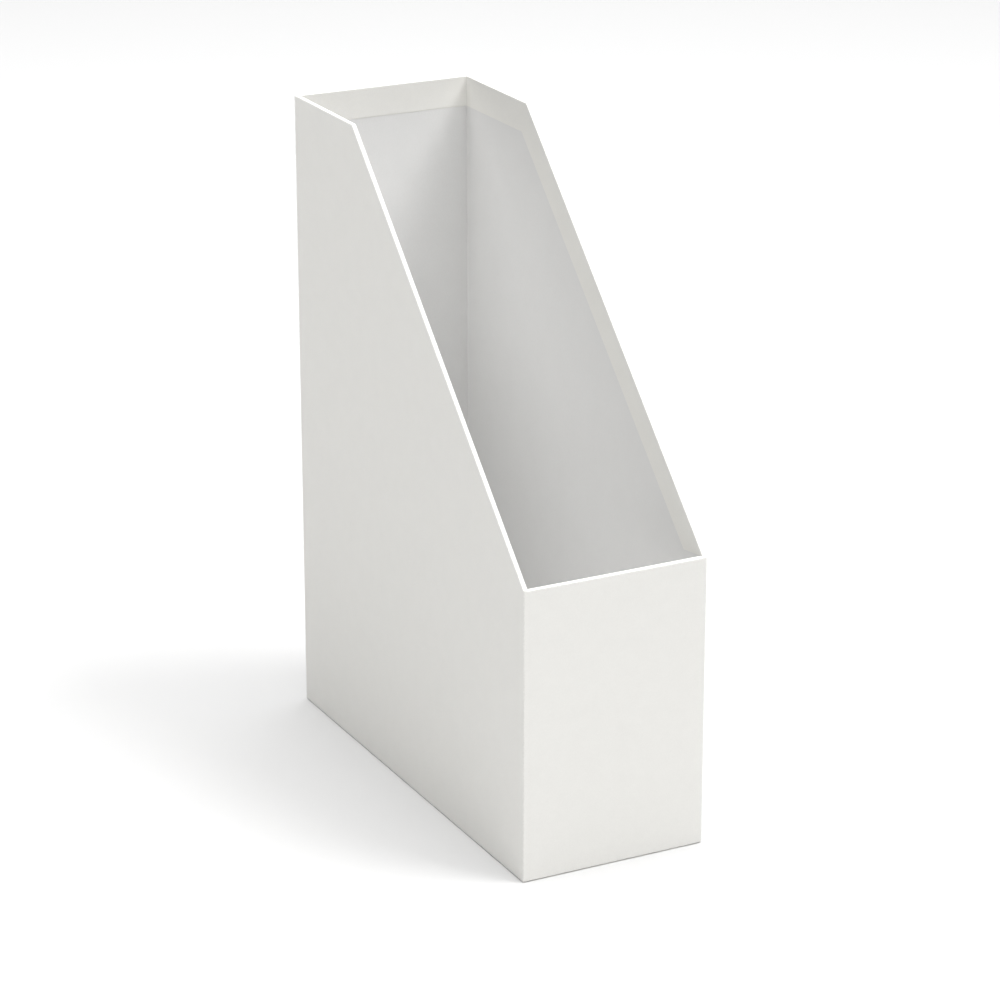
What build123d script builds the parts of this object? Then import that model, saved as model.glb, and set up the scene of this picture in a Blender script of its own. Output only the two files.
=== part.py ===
from build123d import *
import math
import os

# A magazine file: five greyboard panels taped into an open box, lined with
# white paper and wrapped in one covering sheet whose edges turn over the rim
# and under the base. X is the width, the low front wall faces -Y, +Z is up,
# and the origin is the middle of the underside. All sizes are millimetres.

# Outside of the finished holder
WIDTH = 100.0
DEPTH = 256.0
HEIGHT = 336.0
FRONT_HEIGHT = 152.0
TOP_LENGTH = 70.0
CORNER_RADIUS = 0.8

# Board and papers
BOARD = 1.8
COVER = 0.2
LINING = 0.15
TAPE = 0.1
BASE_PAPER = 0.2

# Covering sheet
RIM_TURN_IN = 16.0
SLOPE_TURN_IN = 15.0
RELIEF_ANGLE = 7.0
BASE_TURN_IN = 18.0
LAP_WIDTH = 10.0
LAP_INSET = 22.0

# Gummed stays on the outside of the boards
STAY_LEG = 12.0
STAY_RIM_GAP = 4.0
STAY_END_GAP = 2.0

BASE_PAPER_INSET = 3.0
BEYOND = 10.0

# Places of the layers, from the outside in
SIDE_FACE = WIDTH / 2
FRONT_FACE = -DEPTH / 2
BACK_FACE = DEPTH / 2 - COVER
UNDERSIDE = BASE_PAPER

SIDE_BOARD_OUT = SIDE_FACE - COVER
SIDE_BOARD_IN = SIDE_BOARD_OUT - BOARD
SIDE_LINING_IN = SIDE_BOARD_IN - LINING
SIDE_MOUTH = SIDE_LINING_IN - COVER

FRONT_BOARD_OUT = FRONT_FACE + COVER
FRONT_BOARD_IN = FRONT_BOARD_OUT + BOARD
FRONT_LINING_IN = FRONT_BOARD_IN + LINING
FRONT_MOUTH = FRONT_LINING_IN + COVER

BACK_BOARD_OUT = BACK_FACE - COVER
BACK_BOARD_IN = BACK_BOARD_OUT - BOARD
BACK_LINING_IN = BACK_BOARD_IN - LINING
BACK_MOUTH = BACK_LINING_IN - COVER

BOARD_BOTTOM = UNDERSIDE + COVER
FLOOR = BOARD_BOTTOM + BOARD
BOARD_TOP = HEIGHT - COVER
FRONT_BOARD_TOP = FRONT_HEIGHT - COVER
ROUNDED_TO = UNDERSIDE + CORNER_RADIUS

# The sloping top of the side walls, from the front face to the level stretch
SLOPE_RUN = DEPTH - TOP_LENGTH
SLOPE_RISE = HEIGHT - FRONT_HEIGHT
SLOPE_ANGLE = math.atan2(SLOPE_RISE, SLOPE_RUN)


def block(x, y, z):
    """A box from its (low, high) limits along each axis."""
    sizes = [high - low for low, high in (x, y, z)]
    corner = (x[0], y[0], z[0])
    return Pos(*corner) * Box(*sizes, align=(Align.MIN, Align.MIN, Align.MIN))


def slope_height(y, inset):
    """Height of the slope, moved inwards by inset, at the place y."""
    return FRONT_HEIGHT + (y - FRONT_FACE) * math.tan(SLOPE_ANGLE) - inset / math.cos(SLOPE_ANGLE)


def slope_place(z, inset):
    """Place along Y where the slope, moved inwards by inset, has the height z."""
    return FRONT_FACE + (z - FRONT_HEIGHT + inset / math.cos(SLOPE_ANGLE)) / math.tan(SLOPE_ANGLE)


def side_panel(outline, x):
    """A flat panel with an outline of (y, z) points, between two places along X."""
    face = Plane.YZ * make_face(Polyline(*outline, close=True))
    return Pos(x[0], 0, 0) * extrude(face, x[1] - x[0])


def outside(inset):
    """The holder as one solid block, inset from its outside on every face."""
    front = FRONT_FACE + inset
    back = BACK_FACE - inset
    bottom = UNDERSIDE + inset
    top = HEIGHT - inset
    half = SIDE_FACE - inset
    outline = [
        (front, bottom),
        (back, bottom),
        (back, top),
        (slope_place(top, inset), top),
        (front, slope_height(front, inset)),
    ]
    solid = side_panel(outline, (-half, half))
    rounded = solid.edges().filter_by(Axis.Z) + solid.faces().sort_by(Axis.Z)[0].edges()
    return fillet(rounded, CORNER_RADIUS - inset)


def boards():
    """The five greyboard panels; the side panels run the full depth."""
    core = outside(COVER)
    between = (-SIDE_BOARD_IN, SIDE_BOARD_IN)
    depth = (FRONT_BOARD_OUT, BACK_BOARD_OUT)
    side = core & block((SIDE_BOARD_IN, SIDE_BOARD_OUT), depth, (BOARD_BOTTOM, BOARD_TOP))
    return {
        "left_side_board": mirror(side, Plane.YZ),
        "right_side_board": side,
        "front_board": core
        & block(between, (FRONT_BOARD_OUT, FRONT_BOARD_IN), (BOARD_BOTTOM, FRONT_BOARD_TOP)),
        "back_board": core & block(between, (BACK_BOARD_IN, BACK_BOARD_OUT), (BOARD_BOTTOM, BOARD_TOP)),
        "base_board": block(between, (FRONT_BOARD_IN, BACK_BOARD_IN), (BOARD_BOTTOM, FLOOR)),
    }


def linings():
    """White paper on the inside of each board, up to the board's own edge."""
    depth = (FRONT_BOARD_IN, BACK_BOARD_IN)
    between = (-SIDE_LINING_IN, SIDE_LINING_IN)
    side = outside(COVER) & block((SIDE_LINING_IN, SIDE_BOARD_IN), depth, (FLOOR, BOARD_TOP))
    return {
        "left_side_lining": mirror(side, Plane.YZ),
        "right_side_lining": side,
        "front_lining": block(between, (FRONT_BOARD_IN, FRONT_LINING_IN), (FLOOR, FRONT_BOARD_TOP)),
        "back_lining": block(between, (BACK_LINING_IN, BACK_BOARD_IN), (FLOOR, BOARD_TOP)),
        "floor_lining": block(between, (FRONT_LINING_IN, BACK_LINING_IN), (FLOOR, FLOOR + LINING)),
    }


def corner_stays(skin):
    """Gummed tape folded round each upright corner of the boards."""
    side = (SIDE_BOARD_OUT - STAY_LEG, SIDE_FACE)
    front = block(
        side,
        (FRONT_FACE, FRONT_BOARD_OUT + STAY_LEG),
        (ROUNDED_TO, FRONT_HEIGHT - STAY_RIM_GAP),
    )
    back = block(side, (BACK_BOARD_OUT - STAY_LEG, BACK_FACE), (ROUNDED_TO, HEIGHT - STAY_RIM_GAP))
    front_stay = skin & front
    back_stay = skin & back
    return {
        "front_left_corner_stay": mirror(front_stay, Plane.YZ),
        "front_right_corner_stay": front_stay,
        "back_left_corner_stay": mirror(back_stay, Plane.YZ),
        "back_right_corner_stay": back_stay,
    }


def base_stays(skin):
    """Gummed tape folded round each bottom edge, between the corner stays."""
    clear = STAY_LEG + STAY_END_GAP
    low = (0, BOARD_BOTTOM + STAY_LEG)
    side = skin & block(
        (SIDE_BOARD_OUT - STAY_LEG, SIDE_FACE),
        (FRONT_BOARD_OUT + clear, BACK_BOARD_OUT - clear),
        low,
    )
    across = (-SIDE_BOARD_OUT + clear, SIDE_BOARD_OUT - clear)
    return {
        "left_base_stay": mirror(side, Plane.YZ),
        "right_base_stay": side,
        "front_base_stay": skin & block(across, (FRONT_FACE, FRONT_BOARD_OUT + STAY_LEG), low),
        "back_base_stay": skin & block(across, (BACK_BOARD_OUT - STAY_LEG, BACK_FACE), low),
    }


def side_turn_in():
    """The covering sheet's turned-in edge on the inside of the right wall.

    Its lower end is cut free of the front wall's own turn-in, along a line that
    falls slightly towards the back.
    """
    lower = HEIGHT - RIM_TURN_IN
    fall = math.tan(math.radians(RELIEF_ANGLE))
    rise = math.tan(SLOPE_ANGLE)
    cut_drop = FRONT_BOARD_TOP - slope_height(FRONT_MOUTH, SLOPE_TURN_IN)
    cut_length = cut_drop / (fall + rise)
    outline = [
        (FRONT_BOARD_OUT, slope_height(FRONT_BOARD_OUT, 0)),
        (FRONT_BOARD_OUT, FRONT_BOARD_TOP),
        (FRONT_MOUTH, FRONT_BOARD_TOP),
        (FRONT_MOUTH + cut_length, FRONT_BOARD_TOP - cut_length * fall),
        (slope_place(lower, SLOPE_TURN_IN), lower),
        (BACK_LINING_IN, lower),
        (BACK_LINING_IN, HEIGHT),
        (slope_place(HEIGHT, 0), HEIGHT),
    ]
    return side_panel(outline, (SIDE_MOUTH, SIDE_LINING_IN))


def cover_paper(stays):
    """The covering sheet, hollowed where the stays lie beneath it."""
    mouth = block(
        (-SIDE_MOUTH, SIDE_MOUTH),
        (FRONT_FACE - BEYOND, BACK_MOUTH),
        (FRONT_HEIGHT, HEIGHT + BEYOND),
    )
    base_window = block(
        (-SIDE_FACE + BASE_TURN_IN, SIDE_FACE - BASE_TURN_IN),
        (FRONT_FACE + BASE_TURN_IN, BACK_FACE - BASE_TURN_IN),
        (0, BOARD_BOTTOM),
    )
    sheet = outside(0) - outside(COVER) - mouth - base_window

    fold = (FRONT_BOARD_TOP, FRONT_HEIGHT)
    over_board = block((-SIDE_BOARD_IN, SIDE_BOARD_IN), (FRONT_FACE, FRONT_BOARD_IN), fold)
    over_lining = block((-SIDE_LINING_IN, SIDE_LINING_IN), (FRONT_BOARD_IN, FRONT_MOUTH), fold)
    front_turn_in = block(
        (-SIDE_MOUTH, SIDE_MOUTH),
        (FRONT_LINING_IN, FRONT_MOUTH),
        (FRONT_HEIGHT - RIM_TURN_IN, FRONT_HEIGHT),
    )
    back_turn_in = block(
        (-SIDE_LINING_IN, SIDE_LINING_IN),
        (BACK_MOUTH, BACK_LINING_IN),
        (HEIGHT - RIM_TURN_IN, HEIGHT),
    )
    lap_end = SIDE_FACE - LAP_INSET
    lap = block((lap_end - LAP_WIDTH, lap_end), (BACK_FACE, DEPTH / 2), (ROUNDED_TO, HEIGHT))
    right = side_turn_in()
    left = mirror(right, Plane.YZ)
    sheet = sheet + over_board + over_lining + front_turn_in + back_turn_in + lap + right + left
    for stay in stays.values():
        sheet -= stay
    return sheet


def base_paper():
    """The sheet pasted under the base, over the cover's turned-under edges."""
    across = SIDE_FACE - BASE_PAPER_INSET
    return block(
        (-across, across),
        (FRONT_FACE + BASE_PAPER_INSET, BACK_FACE - BASE_PAPER_INSET),
        (0, BASE_PAPER),
    )


def main():
    """Build every piece and write each to its own file."""
    tape_skin = outside(COVER - TAPE) - outside(COVER)
    stays = corner_stays(tape_skin) | base_stays(tape_skin)
    pieces = boards() | linings() | stays
    pieces["cover_paper"] = cover_paper(stays)
    pieces["base_paper"] = base_paper()
    os.makedirs("parts", exist_ok=True)
    for name, shape in pieces.items():
        export_step(shape, f"parts/{name}.step")


main()
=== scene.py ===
import logging
import math
from contextlib import contextmanager
from dataclasses import dataclass, field
from enum import Enum
from typing import Iterable, Iterator, Union

import bmesh
import bpy
from mathutils import Euler, Matrix, Vector


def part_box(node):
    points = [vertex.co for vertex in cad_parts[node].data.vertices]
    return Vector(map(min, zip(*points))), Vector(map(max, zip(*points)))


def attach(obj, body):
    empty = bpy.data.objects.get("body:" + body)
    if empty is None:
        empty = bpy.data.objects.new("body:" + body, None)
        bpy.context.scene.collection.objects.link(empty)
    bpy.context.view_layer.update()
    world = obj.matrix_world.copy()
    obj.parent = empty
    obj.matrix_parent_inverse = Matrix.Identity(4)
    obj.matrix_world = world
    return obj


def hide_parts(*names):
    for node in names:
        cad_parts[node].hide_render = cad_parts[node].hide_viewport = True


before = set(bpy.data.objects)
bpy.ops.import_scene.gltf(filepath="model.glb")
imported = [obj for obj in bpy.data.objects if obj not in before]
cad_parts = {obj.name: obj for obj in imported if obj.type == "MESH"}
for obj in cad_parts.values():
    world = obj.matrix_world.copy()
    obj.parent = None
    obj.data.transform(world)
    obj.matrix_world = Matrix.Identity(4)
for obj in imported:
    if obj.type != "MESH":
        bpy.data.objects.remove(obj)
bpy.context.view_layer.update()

BODY = "root"
MM = 0.001

# Points closer than NEAR count as one. A cut takes a point within CUT_NEAR as on its plane.
NEAR = 0.01 * MM
CUT_NEAR = 0.0001 * MM

# Noise varies about this value.
MIDDLE = 0.5

log = logging.getLogger("magazine_file")


class Slot(Enum):
    """The record's material slots."""

    COVERING = "covering_paper"
    LINING = "lining_paper"
    BOARD = "greyboard"
    TAPE = "kraft_tape"


# ---------------------------------------------------------------- node graphs


class Value:
    """A node socket that can be used in arithmetic; each operation adds a Math node."""

    def __init__(self, graph: "Graph", socket: bpy.types.NodeSocket) -> None:
        """Keeps the socket and the graph that it belongs to."""
        self.graph = graph
        self.socket = socket

    def _math(self, operation: str, *operands: "Number") -> "Value":
        """One Math node of this operation on the operands."""
        return self.graph.node("ShaderNodeMath", {"operation": operation}, *operands)

    def __add__(self, other: "Number") -> "Value":
        """This plus other."""
        return self._math("ADD", self, other)

    def __radd__(self, other: "Number") -> "Value":
        """Other plus this."""
        return self._math("ADD", other, self)

    def __sub__(self, other: "Number") -> "Value":
        """This minus other."""
        return self._math("SUBTRACT", self, other)

    def __rsub__(self, other: "Number") -> "Value":
        """Other minus this."""
        return self._math("SUBTRACT", other, self)

    def __mul__(self, other: "Number") -> "Value":
        """This times other."""
        return self._math("MULTIPLY", self, other)

    def __rmul__(self, other: "Number") -> "Value":
        """Other times this."""
        return self._math("MULTIPLY", other, self)

    def absolute(self) -> "Value":
        """The value without its sign."""
        return self._math("ABSOLUTE", self)

    def least(self, other: "Number") -> "Value":
        """The lesser of this and other."""
        return self._math("MINIMUM", self, other)

    def most(self, other: "Number") -> "Value":
        """The greater of this and other."""
        return self._math("MAXIMUM", self, other)

    def fade(self, full: float, none: float) -> "Value":
        """A smooth mask from this value.

        Args:
            full: The value at which the mask is 1.
            none: The value at which the mask is 0.

        Returns:
            The mask.
        """
        settings = {"interpolation_type": "SMOOTHSTEP"}
        return self.graph.node("ShaderNodeMapRange", settings, self, none, full, 0.0, 1.0)


Number = Union[Value, float]
Input = Union[Value, float, tuple, str, bpy.types.ID]


class Graph:
    """A node tree under construction, for a material or for geometry."""

    def __init__(self, tree: bpy.types.NodeTree) -> None:
        """Starts with the tree emptied."""
        self.tree = tree
        tree.nodes.clear()

    def raw(self, kind: str, settings: dict, *values: Input, **named: Input) -> bpy.types.Node:
        """Adds a node, applies its settings, then fills its sockets.

        Args:
            kind: The node's type name.
            settings: Attributes that are set before the sockets are filled.
            values: Values or links for the first sockets, in order.
            named: Values or links by socket name, with _ for a space.

        Returns:
            The node.
        """
        node = self.tree.nodes.new(kind)
        for name, setting in settings.items():
            setattr(node, name, setting)
        usable = [socket for socket in node.inputs if socket.enabled]
        for socket, value in zip(usable, values):
            self.fill(socket, value)
        for name, value in named.items():
            wanted = name.replace("_", " ")
            self.fill(next(socket for socket in usable if socket.name == wanted), value)
        return node

    def node(self, kind: str, settings: dict, *values: Input, **named: Input) -> Value:
        """Adds a node as raw does, and gives its first usable output."""
        return self.first(self.raw(kind, settings, *values, **named))

    def first(self, node: bpy.types.Node) -> Value:
        """The node's first usable output."""
        return Value(self, next(socket for socket in node.outputs if socket.enabled))

    def out(self, node: bpy.types.Node, name: str) -> Value:
        """The node's output of that name."""
        return Value(self, node.outputs[name])

    def fill(self, socket: bpy.types.NodeSocket, value: Input) -> None:
        """Links or sets one input socket.

        Args:
            socket: The socket.
            value: A link, or the value to set.
        """
        if isinstance(value, Value):
            self.tree.links.new(value.socket, socket)
        else:
            socket.default_value = value

    def object_place(self) -> Value:
        """The object's own coordinates, in metres."""
        return self.out(self.raw("ShaderNodeTexCoord", {}), "Object")

    def blend(self, mask: Number, low: Input, high: Input) -> Value:
        """The colour low where mask is 0 and high where it is 1."""
        settings = {"data_type": "RGBA"}
        return self.node("ShaderNodeMix", settings, Factor=mask, A=low, B=high)

    def noise(self, place: Value, size: float, detail: float, stretch: tuple = (1, 1, 1)) -> Value:
        """Cloudy noise about 0.5.

        Args:
            place: The coordinates to read.
            size: The size of a feature, in metres.
            detail: The number of finer layers.
            stretch: How many times longer the features are along each axis.

        Returns:
            The noise.
        """
        scale = tuple(1 / (size * longer) for longer in stretch)
        mapped = self.node("ShaderNodeMapping", {}, Vector=place, Scale=scale)
        return self.node("ShaderNodeTexNoise", {}, Vector=mapped, Scale=1.0, Detail=detail)


# --------------------------------------------------------------- measurements


@dataclass(frozen=True)
class Holder:
    """Where the finished holder's faces and folds lie, in metres."""

    side: float
    front: float
    back: float
    under: float
    top: float
    front_top: float
    level_start: float
    side_mouth: float
    front_mouth: float
    back_mouth: float
    sheet: float

    @classmethod
    def from_frame(cls, level_length: float = 70 * MM) -> "Holder":
        """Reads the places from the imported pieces.

        Args:
            level_length: The level stretch of the side walls, from the back.

        Returns:
            The holder's places.
        """
        low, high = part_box("cover_paper")
        side_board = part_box("right_side_board")[1]
        sheet = high.x - side_board.x
        return cls(
            side=high.x,
            front=low.y,
            back=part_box("back_board")[1].y + sheet,
            under=low.z,
            top=high.z,
            front_top=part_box("front_board")[1].z + sheet,
            level_start=high.y - level_length,
            side_mouth=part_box("right_side_lining")[0].x - sheet,
            front_mouth=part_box("front_lining")[1].y + sheet,
            back_mouth=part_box("back_lining")[0].y - sheet,
            sheet=sheet,
        )

    @property
    def slope(self) -> float:
        """The angle of the sloping rim above the level, in radians."""
        return math.atan2(self.top - self.front_top, self.level_start - self.front)

    def slope_height(self, y: float, inset: float = 0.0) -> float:
        """Height of the sloping rim's line at y, moved inwards by inset."""
        return self.front_top + (y - self.front) * math.tan(self.slope) - inset / math.cos(self.slope)

    def slope_place(self, z: float, inset: float = 0.0) -> float:
        """Place along Y where the sloping rim's line, moved inwards by inset, has the height z."""
        rise = z - self.front_top + inset / math.cos(self.slope)
        return self.front + rise / math.tan(self.slope)

    def fold_mask(self, graph: Graph, place: Value, width: float) -> Value:
        """A mask along the upright corners, the bottom edges and the rim.

        Args:
            graph: The material's graph.
            place: The coordinates to read.
            width: How far from a fold the mask reaches.

        Returns:
            The mask, 1 on the fold.
        """
        split = graph.raw("ShaderNodeSeparateXYZ", {}, place)
        x, y, z = (graph.out(split, axis) for axis in "XYZ")
        to_side = self.side - x.absolute()
        to_end = (y - self.front).least(self.back - y)
        to_slope = (self.front_top + (y - self.front) * math.tan(self.slope) - z) * math.cos(self.slope)
        to_rim = to_slope.least(self.top - z)
        upright = to_side.most(to_end).fade(0.0, width)
        base = (z - self.under).most(to_side.least(to_end)).fade(0.0, width)
        rim = to_rim.fade(0.0, width)
        return upright.most(base).most(rim)


# ------------------------------------------------------------------- finishes


Colour = tuple[float, float, float]


def opaque(colour: Colour, factor: float = 1.0) -> tuple[float, float, float, float]:
    """The colour with full alpha, made lighter or darker by a factor."""
    return (*(channel * factor for channel in colour), 1.0)


def start_material(name: str) -> tuple[bpy.types.Material, Graph]:
    """Starts a new node material.

    Args:
        name: The material's name.

    Returns:
        The material and its empty graph.
    """
    made = bpy.data.materials.new(name)
    made.use_nodes = True
    return made, Graph(made.node_tree)


def finish_surface(graph: Graph, specular: float, **named: Input) -> None:
    """Ends a material's graph in one Principled surface.

    Args:
        graph: The material's graph.
        specular: The specular level, the same all over.
        named: The surface's other sockets.
    """
    shader = graph.raw("ShaderNodeBsdfPrincipled", {}, **named)
    shader.inputs["Specular IOR Level"].default_value = specular
    graph.raw("ShaderNodeOutputMaterial", {}, Surface=graph.first(shader))


@dataclass(frozen=True)
class PaperFinish:
    """A matte paper: cloudy formation, fine crossing fibres and lightly rubbed folds."""

    name: str
    colour: Colour
    darkest: float = 0.5
    lightest: float = 1.5
    cloud_size: float = 8 * MM
    cloud_detail: float = 4.0
    cloud_depth: float = 0.016
    fibre_size: float = 0.24 * MM
    fibre_detail: float = 2.0
    upright_stretch: tuple[int, int, int] = (1, 1, 5)
    level_stretch: tuple[int, int, int] = (4, 4, 1)
    fibre_depth: float = 0.06
    fibre_relief: float = 0.035 * MM
    roughness: float = 0.8
    fibre_roughness: float = 0.15
    specular: float = 0.25
    rub: float = 0.0
    rub_width: float = 1.4 * MM
    rub_patch: float = 1.1 * MM
    rub_detail: float = 3.0
    rub_stops: tuple[float, float] = (0.62, 0.42)
    rub_tone: float = 1.12
    rub_roughness: float = 0.08

    def material(self, holder: Holder) -> bpy.types.Material:
        """Builds the paper's material, with rubbed folds where rub is set.

        Args:
            holder: Where the folds are.

        Returns:
            The material.
        """
        made, graph = start_material(self.name)
        place = graph.object_place()
        clouds = graph.noise(place, self.cloud_size, self.cloud_detail)
        upright = graph.noise(place, self.fibre_size, self.fibre_detail, self.upright_stretch)
        level = graph.noise(place, self.fibre_size, self.fibre_detail, self.level_stretch)
        fibres = (upright + level) * 0.5
        cloudy = (clouds - MIDDLE) * (2 * self.cloud_depth)
        fibrous = (fibres - MIDDLE) * (2 * self.fibre_depth)
        ends = (opaque(self.colour, tone) for tone in (self.darkest, self.lightest))
        colour = graph.blend(cloudy + fibrous + MIDDLE, *ends)
        rough = (fibres - MIDDLE) * self.fibre_roughness + self.roughness
        if self.rub:
            broken = graph.noise(place, self.rub_patch, self.rub_detail).fade(*self.rub_stops)
            worn = holder.fold_mask(graph, place, self.rub_width) * broken
            colour = graph.blend(worn * self.rub, colour, opaque(self.colour, self.rub_tone))
            rough = rough + worn * self.rub_roughness
        relief = graph.node("ShaderNodeBump", {}, Distance=self.fibre_relief, Height=fibres)
        finish_surface(graph, self.specular, Base_Color=colour, Roughness=rough, Normal=relief)
        return made


@dataclass(frozen=True)
class BoardFinish:
    """Solid greyboard: recycled pulp with darker and lighter flecks."""

    name: str = "greyboard_pulp"
    colour: Colour = (0.300, 0.280, 0.245)
    pulp_size: float = 2.5 * MM
    pulp_detail: float = 5.0
    pulp_stops: tuple[float, float] = (0.7, 0.3)
    pulp_tones: tuple[float, float] = (0.86, 1.14)
    fleck_size: float = 0.7 * MM
    fleck_detail: float = 2.0
    fleck_stretch: tuple[int, int, int] = (2, 2, 1)
    dark_stops: tuple[float, float] = (0.74, 0.64)
    dark_tone: float = 0.45
    light_stops: tuple[float, float] = (0.27, 0.36)
    light_tone: float = 1.7
    relief: float = 0.04 * MM
    roughness: float = 0.9
    pulp_roughness: float = 0.1
    specular: float = 0.2

    def material(self) -> bpy.types.Material:
        """Builds the board's material.

        Returns:
            The material.
        """
        made, graph = start_material(self.name)
        place = graph.object_place()
        pulp = graph.noise(place, self.pulp_size, self.pulp_detail)
        flecks = graph.noise(place, self.fleck_size, self.fleck_detail, self.fleck_stretch)
        ends = (opaque(self.colour, tone) for tone in self.pulp_tones)
        colour = graph.blend(pulp.fade(*self.pulp_stops), *ends)
        dark = opaque(self.colour, self.dark_tone)
        colour = graph.blend(flecks.fade(*self.dark_stops), colour, dark)
        light = opaque(self.colour, self.light_tone)
        colour = graph.blend(flecks.fade(*self.light_stops), colour, light)
        bump = graph.node("ShaderNodeBump", {}, Distance=self.relief, Height=pulp + flecks)
        rough = self.roughness - pulp * self.pulp_roughness
        finish_surface(graph, self.specular, Base_Color=colour, Roughness=rough, Normal=bump)
        return made


@dataclass(frozen=True)
class TapeFinish:
    """Gummed kraft tape: brown paper with long machine-direction fibres."""

    name: str = "gummed_kraft"
    colour: Colour = (0.360, 0.225, 0.115)
    tones: tuple[float, float] = (0.82, 1.2)
    stops: tuple[float, float] = (0.66, 0.34)
    detail: float = 3.0
    fibre_size: float = 0.25 * MM
    streak: float = 14.0
    blotch_size: float = 6 * MM
    relief: float = 0.02 * MM
    roughness: float = 0.62
    fibre_roughness: float = 0.2
    specular: float = 0.35

    def material(self) -> bpy.types.Material:
        """Builds the tape's material.

        Returns:
            The material.
        """
        made, graph = start_material(self.name)
        place = graph.object_place()
        fibres = graph.noise(place, self.fibre_size, self.detail, (1, 1, self.streak))
        blotches = graph.noise(place, self.blotch_size, self.detail)
        mask = ((fibres + blotches) * 0.5).fade(*self.stops)
        colour = graph.blend(mask, *(opaque(self.colour, tone) for tone in self.tones))
        bump = graph.node("ShaderNodeBump", {}, Distance=self.relief, Height=fibres)
        rough = self.roughness + fibres * self.fibre_roughness
        finish_surface(graph, self.specular, Base_Color=colour, Roughness=rough, Normal=bump)
        return made


# ---------------------------------------------------------------- mesh helpers


Point = tuple[float, float, float]


def add_object(name: str, data: bpy.types.ID) -> bpy.types.Object:
    """Adds an object to the scene.

    Args:
        name: The object's name.
        data: Its mesh, light or camera.

    Returns:
        The object.
    """
    made = bpy.data.objects.new(name, data)
    bpy.context.scene.collection.objects.link(made)
    return made


@contextmanager
def edited(mesh: bpy.types.Mesh) -> Iterator[bmesh.types.BMesh]:
    """Opens a mesh for editing, and writes it back afterwards.

    Args:
        mesh: The mesh.

    Yields:
        The mesh as one that can be edited.
    """
    work = bmesh.new()
    work.from_mesh(mesh)
    yield work
    work.to_mesh(mesh)
    work.free()


def cut(work: bmesh.types.BMesh, faces: list[bmesh.types.BMFace], place: Point, normal: Point) -> None:
    """Cuts some of a mesh's faces where a plane crosses them.

    Args:
        work: The mesh.
        faces: The faces to cut.
        place: A point on the plane.
        normal: The plane's normal.
    """
    parts = dict.fromkeys(faces)
    parts.update(dict.fromkeys(edge for face in faces for edge in face.edges))
    parts.update(dict.fromkeys(vert for face in faces for vert in face.verts))
    bmesh.ops.bisect_plane(work, geom=list(parts), dist=CUT_NEAR, plane_co=place, plane_no=normal)


def applied(thing: bpy.types.Object) -> None:
    """Bakes the object's modifiers into its own mesh and removes them.

    Args:
        thing: The object.
    """
    graph = bpy.context.evaluated_depsgraph_get()
    graph.update()
    mesh = bpy.data.meshes.new_from_object(thing.evaluated_get(graph), depsgraph=graph)
    thing.modifiers.clear()
    spare = thing.data
    thing.data = mesh
    bpy.data.meshes.remove(spare)
    mesh.name = thing.name


def add_modifier(thing: bpy.types.Object, kind: str, **settings: object) -> None:
    """Adds a modifier.

    Args:
        thing: The object.
        kind: The modifier's type name.
        settings: The modifier's settings by name.
    """
    modifier = thing.modifiers.new(kind.lower(), kind)
    for name, setting in settings.items():
        setattr(modifier, name, setting)


def mirrored(panel: Iterable[Point]) -> list[Point]:
    """The same panel on the other side."""
    return [(-x, y, z) for x, y, z in panel]


def fair_shading(thing: bpy.types.Object, crease: float = math.radians(35)) -> None:
    """Smooths folds and lets the flat faces beside them keep their own normals.

    Args:
        thing: The piece.
        crease: The least angle that stays a sharp edge.
    """
    thing.data.shade_smooth()
    thing.data.set_sharp_from_angle(angle=crease)
    add_modifier(thing, "WEIGHTED_NORMAL", keep_sharp=True, weight=100)
    applied(thing)


def show_as(thing: bpy.types.Object, material: bpy.types.Material, slot: Slot, *nodes: str) -> None:
    """Dresses a finished piece and ties it to the frame.

    Args:
        thing: The piece.
        material: Its finish.
        slot: The record's slot that the finish belongs to; not used.
        nodes: The CAD nodes that the piece stands for.
    """
    thing.data.materials.clear()
    thing.data.materials.append(material)
    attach(thing, BODY)
    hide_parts(*nodes)
    log.info("%s: %d faces, stands for %s", thing.name, len(thing.data.polygons), ", ".join(nodes))


def repaint(nodes: Iterable[str], material: bpy.types.Material) -> None:
    """Gives CAD pieces that are shown as they are a finish.

    Args:
        nodes: The pieces' names.
        material: The finish.
    """
    for name in nodes:
        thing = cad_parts[name]
        thing.data.materials.clear()
        thing.data.materials.append(material)
        log.info("%s: kept from the frame, finished in %s", name, material.name)


# ------------------------------------------------------------- the cover sheet


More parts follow.
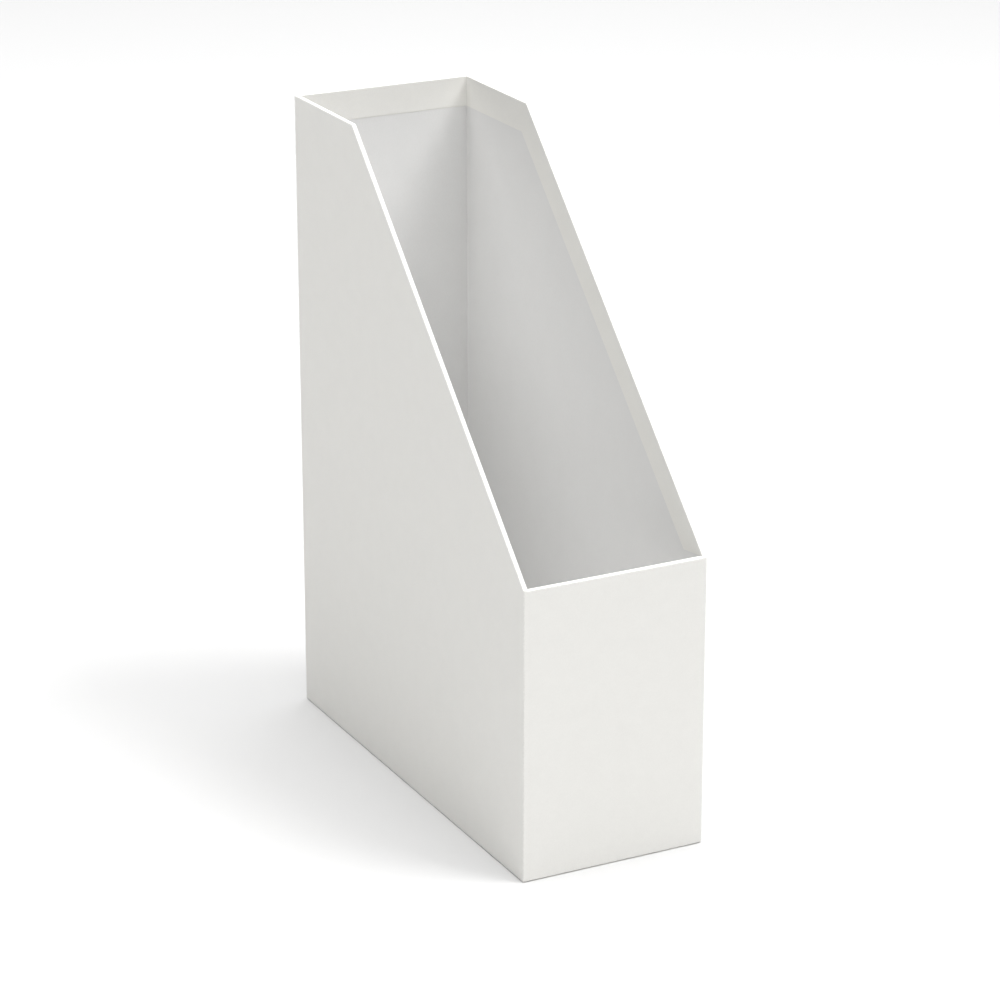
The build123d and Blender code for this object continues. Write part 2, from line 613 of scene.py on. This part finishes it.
@dataclass
class CoverSheet:
    """The covering paper: one sheet round the walls, over the rim and under the base."""

    holder: Holder
    finish: PaperFinish
    rim_turn_in: float = 16 * MM
    slope_turn_in: float = 15 * MM
    base_turn_in: float = 18 * MM
    relief_angle: float = math.radians(7)
    end_taper: float = 1.5 * MM
    flat_angle: float = math.radians(2)
    fold_radius: float = 0.8 * MM
    rim_radius: float = 0.55 * MM
    inner_radius: float = 0.4 * MM
    crease_radius: float = 0.2 * MM
    fold_steps: int = 6
    lap_inset: float = 22 * MM
    lap_width: float = 10 * MM
    lap_ramp: float = 1.5 * MM
    lap_cut: float = 0.05 * MM
    lap_foot: float = 3 * MM
    pared_width: float = 0.8 * MM
    pared_part: float = 0.3

    def side_panels(self) -> list[list[Point]]:
        """Lays out the right side's flat panels.

        Returns:
            The wall, its rims, its turned-in edge and its turned-under edge.
        """
        h = self.holder
        out, mouth = h.side, h.side_mouth
        lower = h.top - self.rim_turn_in
        fall = math.tan(self.relief_angle)
        drop = h.front_top - h.slope_height(h.front_mouth, self.slope_turn_in)
        cut = drop / (fall + math.tan(h.slope))
        under = self.base_turn_in
        wall = [
            (out, h.front, h.under),
            (out, h.back, h.under),
            (out, h.back, h.top),
            (out, h.level_start, h.top),
            (out, h.front, h.front_top),
        ]
        level_rim = [
            (out, h.level_start, h.top),
            (out, h.back, h.top),
            (mouth, h.back_mouth, h.top),
            (mouth, h.level_start, h.top),
        ]
        slope_rim = [
            (out, h.front, h.front_top),
            (out, h.level_start, h.top),
            (mouth, h.level_start, h.top),
            (mouth, h.front, h.front_top),
        ]
        turn_in = [
            (mouth, h.front, h.front_top),
            (mouth, h.level_start, h.top),
            (mouth, h.back_mouth, h.top),
            (mouth, h.back_mouth, lower),
            (mouth, h.slope_place(lower, self.slope_turn_in), lower),
            (mouth, h.front_mouth + cut, h.front_top - cut * fall),
            (mouth, h.front_mouth, h.front_top),
        ]
        turn_under = [
            (out, h.front, h.under),
            (out - under, h.front + under, h.under),
            (out - under, h.back - under, h.under),
            (out, h.back, h.under),
        ]
        return [wall, level_rim, slope_rim, turn_in, turn_under]

    def end_panels(self) -> list[list[Point]]:
        """Lays out the flat panels of the two ends.

        Returns:
            The front and back walls with their rims and their turned edges.
        """
        h = self.holder
        out, mouth = h.side, h.side_mouth
        under = self.base_turn_in
        front_lower = h.front_top - self.rim_turn_in
        back_lower = h.top - self.rim_turn_in
        tapered = mouth - self.end_taper
        front = [
            (-out, h.front, h.under),
            (out, h.front, h.under),
            (out, h.front, h.front_top),
            (mouth, h.front, h.front_top),
            (-mouth, h.front, h.front_top),
            (-out, h.front, h.front_top),
        ]
        front_rim = [
            (-mouth, h.front, h.front_top),
            (mouth, h.front, h.front_top),
            (mouth, h.front_mouth, h.front_top),
            (-mouth, h.front_mouth, h.front_top),
        ]
        front_turn_in = [
            (-mouth, h.front_mouth, h.front_top),
            (mouth, h.front_mouth, h.front_top),
            (tapered, h.front_mouth, front_lower),
            (-tapered, h.front_mouth, front_lower),
        ]
        back = [
            (out, h.back, h.under),
            (-out, h.back, h.under),
            (-out, h.back, h.top),
            (out, h.back, h.top),
        ]
        back_rim = [
            (out, h.back, h.top),
            (-out, h.back, h.top),
            (-mouth, h.back_mouth, h.top),
            (mouth, h.back_mouth, h.top),
        ]
        back_turn_in = [
            (mouth, h.back_mouth, h.top),
            (-mouth, h.back_mouth, h.top),
            (-mouth, h.back_mouth, back_lower),
            (mouth, h.back_mouth, back_lower),
        ]
        front_under = [
            (-out, h.front, h.under),
            (-out + under, h.front + under, h.under),
            (out - under, h.front + under, h.under),
            (out, h.front, h.under),
        ]
        back_under = [
            (out, h.back, h.under),
            (out - under, h.back - under, h.under),
            (-out + under, h.back - under, h.under),
            (-out, h.back, h.under),
        ]
        return [
            front,
            front_rim,
            front_turn_in,
            back,
            back_rim,
            back_turn_in,
            front_under,
            back_under,
        ]

    def fold_size(self, edge: bmesh.types.BMEdge) -> float:
        """Chooses the radius of one fold line.

        Args:
            edge: The line, between two flat panels.

        Returns:
            The radius, or nothing where the sheet stays flat or ends.
        """
        if len(edge.link_faces) != 2 or edge.calc_face_angle(0.0) < self.flat_angle:
            return 0.0
        h = self.holder
        xs, ys, zs = zip(*(vert.co for vert in edge.verts))
        level = abs(zs[0] - zs[1]) < NEAR
        inside = max(abs(x) for x in xs) < h.side_mouth + NEAR
        if inside and max(ys) > h.front + NEAR and min(ys) < h.back - NEAR:
            return self.crease_radius if min(ys) < h.front + NEAR and level else self.inner_radius
        upright = min(abs(x) for x in xs) > h.side - NEAR and abs(ys[0] - ys[1]) < NEAR and not level
        under = max(zs) < h.under + NEAR
        return self.fold_radius if upright or under else self.rim_radius

    def fold(self, sheet: bmesh.types.BMesh) -> None:
        """Joins the panels with sharp folds; each fold's radius is its bevel weight.

        Args:
            sheet: The empty mesh that becomes the sheet's outer face.
        """
        panels = self.end_panels()
        for panel in self.side_panels():
            panels.append(panel)
            panels.append(mirrored(panel))
        for panel in panels:
            sheet.faces.new([sheet.verts.new(point) for point in panel])
        bmesh.ops.remove_doubles(sheet, verts=sheet.verts, dist=NEAR)
        bmesh.ops.recalc_face_normals(sheet, faces=sheet.faces)
        front = min(sheet.faces, key=lambda face: face.calc_center_median().y)
        if front.normal.y > 0:
            bmesh.ops.reverse_faces(sheet, faces=sheet.faces)
        weight = sheet.edges.layers.float.new("bevel_weight_edge")
        for edge in sheet.edges:
            edge[weight] = self.fold_size(edge) / self.fold_radius

    def on_back(self, vert: bmesh.types.BMVert) -> bool:
        """Whether a point lies on the outer face of the back wall."""
        return vert.co.y > self.holder.back - NEAR

    def lap(self, mesh: bpy.types.Mesh) -> None:
        """Raises the sheet's overlapping end on the back wall by its own thickness.

        Args:
            mesh: The sheet's outer face.
        """
        h = self.holder
        start = h.side - self.lap_inset
        end = start - self.lap_width
        left, right = end + self.lap_cut, start - self.lap_ramp
        foot, head = h.under + 2 * self.lap_foot, h.top - 2 * self.lap_foot
        cuts = [((x, 0, 0), (1, 0, 0)) for x in (start, right, left, end)]
        heights = (foot - self.lap_foot, foot, head + self.lap_foot, head)
        cuts += [((0, 0, z), (0, 0, 1)) for z in heights]
        with edited(mesh) as sheet:
            for place, normal in cuts:
                outer = [face for face in sheet.faces if all(self.on_back(vert) for vert in face.verts)]
                cut(sheet, outer, place, normal)
            for vert in filter(self.on_back, sheet.verts):
                x, _, z = vert.co
                if left - NEAR < x < right + NEAR and foot - NEAR < z < head + NEAR:
                    vert.co.y += h.sheet

    def in_mouth(self, vert: bmesh.types.BMVert) -> bool:
        """Tells whether a point lies inside the mouth, where the edges are turned in.

        Args:
            vert: A point of the sheet's outer face.

        Returns:
            True where it does.
        """
        h = self.holder
        across = abs(vert.co.x) < h.side_mouth + NEAR
        return across and h.front_mouth - NEAR < vert.co.y < h.back_mouth + NEAR

    def cut_turn_ins(self, sheet: bmesh.types.BMesh) -> None:
        """Cuts the turned-in edges along the line from which they are pared.

        Args:
            sheet: The sheet's outer face.
        """
        h = self.holder
        reach = self.rim_turn_in - self.pared_width
        slope_reach = self.slope_turn_in - self.pared_width
        on_slope = (0, h.front, h.slope_height(h.front, slope_reach))
        along = (0, -math.sin(h.slope), math.cos(h.slope))
        lines = [
            ((0, 0, h.top - reach), (0, 0, 1), h.level_start),
            ((0, 0, h.front_top - reach), (0, 0, 1), h.front),
            (on_slope, along, h.front),
        ]
        for place, normal, start in lines:
            inner = [face for face in sheet.faces if all(self.in_mouth(vert) for vert in face.verts)]
            faces = [face for face in inner if max(vert.co.y for vert in face.verts) > start]
            cut(sheet, faces, place, normal)

    def on_lower_edge(self, vert: bmesh.types.BMVert) -> bool:
        """Tells whether a point lies where a turned-in edge ends, below the rim.

        Args:
            vert: A point of the sheet's outer face.

        Returns:
            True where it does.
        """
        h = self.holder
        above = min(h.top, h.slope_height(vert.co.y)) - self.rim_turn_in / 2
        return vert.is_boundary and self.in_mouth(vert) and h.under + NEAR < vert.co.z < above

    def pare(self, mesh: bpy.types.Mesh) -> list[int]:
        """Thins the turned-in edges towards the wall, so that they end almost flush.

        Args:
            mesh: The sheet's outer face.

        Returns:
            The indices of the points on the pared edge.
        """
        step = self.holder.sheet * (1 - self.pared_part)
        with edited(mesh) as sheet:
            self.cut_turn_ins(sheet)
            sheet.normal_update()
            sheet.verts.index_update()
            pared = [vert for vert in sheet.verts if self.on_lower_edge(vert)]
            for vert in pared:
                vert.co -= vert.normal * step
            return [vert.index for vert in pared]

    def build(self) -> None:
        """Folds the sheet, rounds its folds, laps its ends and gives it its thickness."""
        mesh = bpy.data.meshes.new("cover_paper_sheet")
        with edited(mesh) as sheet:
            self.fold(sheet)
        cover = add_object("covering_sheet", mesh)
        add_modifier(
            cover,
            "BEVEL",
            limit_method="WEIGHT",
            width=self.fold_radius,
            segments=self.fold_steps,
            use_clamp_overlap=False,
        )
        applied(cover)
        self.lap(cover.data)
        pared = self.pare(cover.data)
        full = cover.vertex_groups.new(name="full_thickness")
        full.add(range(len(cover.data.vertices)), 1.0, "REPLACE")
        full.add(pared, self.pared_part, "REPLACE")
        add_modifier(
            cover,
            "SOLIDIFY",
            thickness=self.holder.sheet,
            offset=-1.0,
            use_even_offset=True,
            vertex_group=full.name,
        )
        applied(cover)
        cover.vertex_groups.clear()
        fair_shading(cover)
        show_as(cover, self.finish.material(self.holder), Slot.COVERING, "cover_paper")


# -------------------------------------------------------------- the base sheet


@dataclass
class BaseSheet:
    """The paper under the base, sunk a little where no turned-under edge lies above it."""

    holder: Holder
    finish: PaperFinish
    flap: float = 18 * MM
    ramp: float = 1.6 * MM
    steps: int = 6
    low: Vector = field(default_factory=lambda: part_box("base_paper")[0])
    high: Vector = field(default_factory=lambda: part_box("base_paper")[1])

    def loop(self, sheet: bmesh.types.BMesh, inset: float, z: float) -> list[bmesh.types.BMVert]:
        """Adds one rectangle of points round the sheet.

        Args:
            sheet: The mesh under construction.
            inset: How far inside the sheet's edge.
            z: The height of the points.

        Returns:
            The four corners.
        """
        x, front, back = self.high.x - inset, self.low.y + inset, self.high.y - inset
        corners = [(-x, front, z), (x, front, z), (x, back, z), (-x, back, z)]
        return [sheet.verts.new(corner) for corner in corners]

    def build(self) -> None:
        """Builds the sheet from its edge to its sunken middle."""
        reach = self.flap - (self.holder.side - self.high.x)
        mesh = bpy.data.meshes.new("base_paper_sheet")
        with edited(mesh) as sheet:
            loops = [self.loop(sheet, 0.0, self.low.z)]
            for step in range(self.steps + 1):
                part = step / self.steps
                sink = self.holder.sheet * (1 - math.cos(math.pi * part)) / 2
                loops.append(self.loop(sheet, reach + self.ramp * part, self.low.z + sink))
            for outer, inner in zip(loops, loops[1:]):
                for strip in zip(outer, inner, inner[1:] + inner[:1], outer[1:] + outer[:1]):
                    sheet.faces.new(strip)
            sheet.faces.new(list(reversed(loops[-1])))
            sheet.normal_update()
        base = add_object("base_sheet", mesh)
        add_modifier(base, "SOLIDIFY", thickness=self.holder.sheet, offset=-1.0, use_even_offset=True)
        applied(base)
        fair_shading(base)
        show_as(base, self.finish.material(self.holder), Slot.COVERING, "base_paper")


# ------------------------------------------------------------------- the stays


@dataclass
class StayTapes:
    """Eight lengths of gummed tape, each folded along an edge of the boards."""

    finish: TapeFinish
    fold_radius: float = 0.65 * MM
    leg: float = 12 * MM
    thickness: float = 0.1 * MM
    fold_steps: int = 6
    nodes: tuple[str, ...] = (
        "front_left_corner_stay",
        "front_right_corner_stay",
        "back_left_corner_stay",
        "back_right_corner_stay",
        "left_base_stay",
        "right_base_stay",
        "front_base_stay",
        "back_base_stay",
    )

    def tree(self, material: bpy.types.Material) -> bpy.types.NodeTree:
        """The tree that folds a flat ribbon of tape along its length.

        Args:
            material: The tape's finish.

        Returns:
            The tree, with its sizes as named inputs.
        """
        tree = bpy.data.node_groups.new("folded_tape", "GeometryNodeTree")
        sizes = ("Length", "Leg", "Fold Radius", "Thickness")
        for name in sizes:
            tree.interface.new_socket(name=name, in_out="INPUT", socket_type="NodeSocketFloat")
        tree.interface.new_socket(name="Geometry", in_out="OUTPUT", socket_type="NodeSocketGeometry")
        graph = Graph(tree)
        given = graph.raw("NodeGroupInput", {})
        length, leg, radius, thickness = (graph.out(given, name) for name in sizes)
        one_end = graph.node("ShaderNodeCombineXYZ", {}, X=leg)
        other_end = graph.node("ShaderNodeCombineXYZ", {}, Y=leg)
        across = graph.node("GeometryNodeCurvePrimitiveLine", {}, one_end, other_end)
        points = 3
        bent = graph.node("GeometryNodeResampleCurve", {}, Curve=across, Count=points)
        index = graph.node("GeometryNodeInputIndex", {})
        settings = {"data_type": "INT", "operation": "EQUAL"}
        middle = graph.node("FunctionNodeCompare", settings, index, points // 2)
        corner = graph.node("ShaderNodeCombineXYZ", {})
        bent = graph.node("GeometryNodeSetPosition", {}, Geometry=bent, Selection=middle, Position=corner)
        path = graph.node(
            "GeometryNodeFilletCurve",
            {"mode": "POLY"},
            Curve=bent,
            Radius=radius,
            Count=self.fold_steps,
        )
        ribbon = graph.node("GeometryNodeCurvePrimitiveQuadrilateral", {}, thickness, length)
        tape = graph.node("GeometryNodeCurveToMesh", {}, Curve=path, Profile_Curve=ribbon, Fill_Caps=True)
        whole = graph.node("GeometryNodeRealizeInstances", {}, tape)
        dressed = graph.node("GeometryNodeSetMaterial", {}, Geometry=whole, Material=material)
        graph.raw("NodeGroupOutput", {}, dressed)
        return tree

    def place(self, name: str) -> tuple[float, Matrix]:
        """Finds where one stay lies.

        Args:
            name: The stay's node.

        Returns:
            Its length, and the matrix that lays the tape on its edge, so that
            its two legs point away from the edge over the boards.
        """
        low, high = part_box(name)
        size = high - low
        corner = (low + high) / 2
        up = 2
        along = max(range(3), key=lambda axis: size[axis])
        legs = [axis for axis in range(3) if axis != along]
        axes = Matrix.Identity(3)
        turn = Matrix.Identity(3)
        turn.col[2] = axes.col[along]
        for column, axis in enumerate(legs):
            far = axis != up and corner[axis] > 0
            corner[axis] = high[axis] if far else low[axis]
            turn.col[column] = -axes.col[axis] if far else axes.col[axis]
        inset = Matrix.Translation((self.thickness / 2, self.thickness / 2, 0))
        return size[along], Matrix.Translation(corner) @ turn.to_4x4() @ inset

    def build(self) -> None:
        """Folds one tape for each edge."""
        material = self.finish.material()
        tree = self.tree(material)
        ids = {item.name: item.identifier for item in tree.interface.items_tree}
        for name in self.nodes:
            length, matrix = self.place(name)
            tape = add_object(f"{name}_tape", bpy.data.meshes.new(name))
            modifier = tape.modifiers.new("fold", "NODES")
            modifier.node_group = tree
            modifier[ids["Length"]] = length
            modifier[ids["Leg"]] = self.leg
            modifier[ids["Fold Radius"]] = self.fold_radius
            modifier[ids["Thickness"]] = self.thickness
            applied(tape)
            tape.data.transform(matrix)
            with edited(tape.data) as outward:
                bmesh.ops.recalc_face_normals(outward, faces=outward.faces)
            fair_shading(tape)
            show_as(tape, material, Slot.TAPE, name)


# ---------------------------------------------------------- boards and linings


@dataclass
class Linings:
    """The five lining papers, as the frame has them."""

    holder: Holder
    finish: PaperFinish
    nodes: tuple[str, ...] = (
        "left_side_lining",
        "right_side_lining",
        "front_lining",
        "back_lining",
        "floor_lining",
    )

    def dress(self) -> None:
        """Finishes the linings."""
        repaint(self.nodes, self.finish.material(self.holder))


@dataclass
class Boards:
    """The five greyboard panels, as the frame has them."""

    finish: BoardFinish
    nodes: tuple[str, ...] = (
        "left_side_board",
        "right_side_board",
        "front_board",
        "back_board",
        "base_board",
    )

    def dress(self) -> None:
        """Finishes the boards."""
        repaint(self.nodes, self.finish.material())


# ------------------------------------------------------------------ the studio


@dataclass
class Studio:
    """A pale floor, soft light from the front right, and the camera."""

    floor_reach: float = 20.0
    floor_colour: Colour = (0.70, 0.70, 0.70)
    sky_strength: float = 0.30
    sky_full: float = 0.95
    sky_none: float = 0.3
    key_strength: float = 1.24
    key_angle: float = math.radians(26)
    key_way: Vector = field(default_factory=lambda: Vector((-1.0, 0.85, -1.9)))
    overhead_power: float = 168.0
    overhead_size: float = 4.0
    overhead_height: float = 3.0
    camera_place: Vector = field(default_factory=lambda: Vector((-0.7760, -1.5196, 0.7698)))
    camera_yaw: float = math.radians(27.144)
    camera_pitch: float = math.radians(20.02)
    lens: float = 129.0
    sensor: float = 36.0

    def floor(self) -> None:
        """Lays the plain floor, which isn't part of the object."""
        mesh = bpy.data.meshes.new("studio_floor")
        reach = self.floor_reach
        corners = [(-reach, -reach, 0), (reach, -reach, 0), (reach, reach, 0), (-reach, reach, 0)]
        mesh.from_pydata(corners, [], [(0, 1, 2, 3)])
        floor = add_object("studio_floor", mesh)
        made, graph = start_material("studio_floor")
        finish_surface(graph, 0.0, Base_Color=opaque(self.floor_colour), Roughness=1.0)
        mesh.materials.append(made)

    def lights(self) -> None:
        """Sets the bright ceiling, the soft key light and the overhead softbox."""
        world = bpy.data.worlds.new("studio")
        world.use_nodes = True
        graph = Graph(world.node_tree)
        way = graph.out(graph.raw("ShaderNodeTexCoord", {}), "Generated")
        height = graph.out(graph.raw("ShaderNodeSeparateXYZ", {}, way), "Z")
        strength = height.fade(self.sky_full, self.sky_none) * self.sky_strength
        around = graph.node("ShaderNodeBackground", {}, Color=opaque((1, 1, 1)), Strength=strength)
        graph.raw("ShaderNodeOutputWorld", {}, Surface=around)
        bpy.context.scene.world = world
        key = bpy.data.lights.new("key", "SUN")
        key.energy = self.key_strength
        key.angle = self.key_angle
        add_object("key", key).rotation_euler = self.key_way.to_track_quat("-Z", "Y").to_euler()
        box = bpy.data.lights.new("overhead", "AREA")
        box.energy = self.overhead_power
        box.size = self.overhead_size
        add_object("overhead", box).location = (0, 0, self.overhead_height)

    def camera(self) -> None:
        """Places the camera."""
        made = bpy.data.cameras.new("camera")
        made.lens = self.lens
        made.sensor_width = self.sensor
        camera = add_object("camera", made)
        camera.location = self.camera_place
        camera.rotation_euler = Euler((math.pi / 2 - self.camera_pitch, 0, -self.camera_yaw))
        bpy.context.scene.camera = camera

    def build(self) -> None:
        """Sets the whole studio."""
        self.floor()
        self.lights()
        self.camera()
        bpy.context.scene.view_settings.view_transform = "Standard"


# ------------------------------------------------------------------------ main


def main() -> None:
    """Builds the magazine file and its studio."""
    logging.basicConfig(level=logging.INFO, format="%(message)s")
    holder = Holder.from_frame()
    covering = PaperFinish("covering_paper", (0.910, 0.902, 0.868), rub=0.5)
    under = PaperFinish("base_paper", (0.900, 0.892, 0.858))
    lining = PaperFinish("lining_paper", (0.838, 0.836, 0.828), cloud_size=12 * MM)
    CoverSheet(holder, covering).build()
    BaseSheet(holder, under).build()
    StayTapes(TapeFinish()).build()
    Linings(holder, lining).dress()
    Boards(BoardFinish()).dress()
    Studio().build()


if __name__ == "__main__":
    main()
